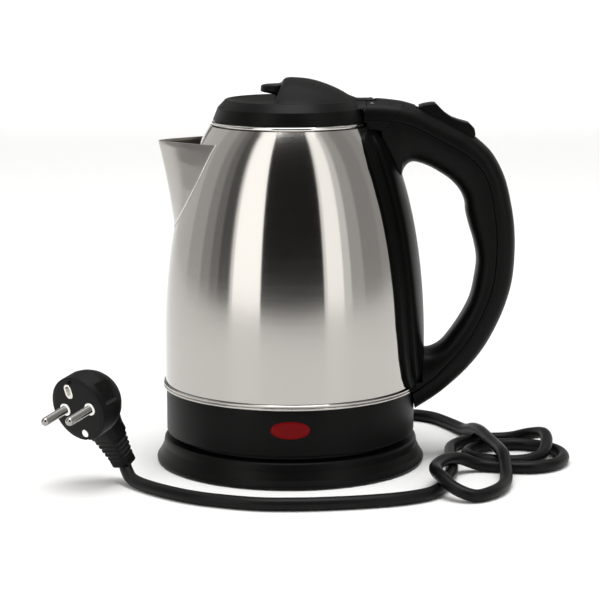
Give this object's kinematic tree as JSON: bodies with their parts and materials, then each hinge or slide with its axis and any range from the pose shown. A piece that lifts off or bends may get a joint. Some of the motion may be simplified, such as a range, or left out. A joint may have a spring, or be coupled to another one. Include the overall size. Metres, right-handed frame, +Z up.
{
  "type": "electric kettle",
  "caption": "Cordless electric kettle: steel jug with spout, hinged lid and loop handle with a rocker switch, on a round power base with its mains lead and plug.",
  "frame": {"origin": "on the jug's axis at the underside of the power base, at table height", "axes": "+Z up, +X towards the handle, -X towards the spout, -Y the side that carries the lamp"},
  "size_m": [0.2994, 0.2141, 0.2236],
  "materials": {
    "black_plastic": "satin",
    "matte_black": "matte",
    "grey_rubber": "matte",
    "brushed_steel": "brushed",
    "polished_steel": "polished",
    "satin_steel": "satin",
    "screw_steel": "satin",
    "nickel": "polished",
    "brass": "satin",
    "aluminium": "satin",
    "element_metal": "matte",
    "white_plastic": "matte",
    "red_lens": "gloss",
    "cord_sheath": "satin",
    "plug_rubber": "matte",
    "silicone": "matte"
  },
  "bodies": {
    "base": {"base_cover": "black_plastic", "base_plate": "matte_black", "base_feet": "grey_rubber", "base_screws": "screw_steel", "power_hub": "black_plastic", "hub_contacts": "brass", "cord_gland": "plug_rubber", "cord": "cord_sheath", "plug_body": "plug_rubber", "plug_boot": "plug_rubber", "plug_pins": "nickel", "plug_earth_clips": "nickel"},
    "kettle": {"steel_jug": "brushed_steel", "mouth_ring": "polished_steel", "spout": "brushed_steel", "spout_filter": "brushed_steel", "bead_ring": "polished_steel", "skirt": "black_plastic", "skirt_bottom": "matte_black", "bottom_screws": "screw_steel", "heating_plate": "satin_steel", "heat_spreader": "aluminium", "heating_element": "element_metal", "thermostat": "white_plastic", "jug_contacts": "brass", "lamp_lens": "red_lens", "lamp_holder": "white_plastic", "handle_strap": "black_plastic", "handle_inner": "black_plastic", "handle_cover": "black_plastic", "handle_screws": "screw_steel", "hinge_block": "black_plastic", "hinge_pin": "screw_steel", "switch_frame": "matte_black", "steam_switch": "white_plastic", "rocker_pin": "screw_steel"},
    "switch": {"switch_rocker": "black_plastic"},
    "lid": {"lid_cover": "black_plastic", "lid_liner": "satin_steel", "lid_seal": "silicone", "lid_screws": "screw_steel"}
  },
  "joints": [
    {"name": "kettle_lift", "type": "slide", "parent": "base", "child": "kettle", "axis": [0, 0, 1], "range_m": [0, 0.12]},
    {"name": "lid_hinge", "type": "hinge", "parent": "kettle", "child": "lid", "pos_m": [0.0465, 0, 0.2092], "axis": [0, 1, 0], "range_deg": [0, 80]},
    {"name": "switch_press", "type": "hinge", "parent": "kettle", "child": "switch", "pos_m": [0.0881, 0, 0.192], "axis": [0, 1, 0], "range_deg": [-14, 0]}
  ]
}
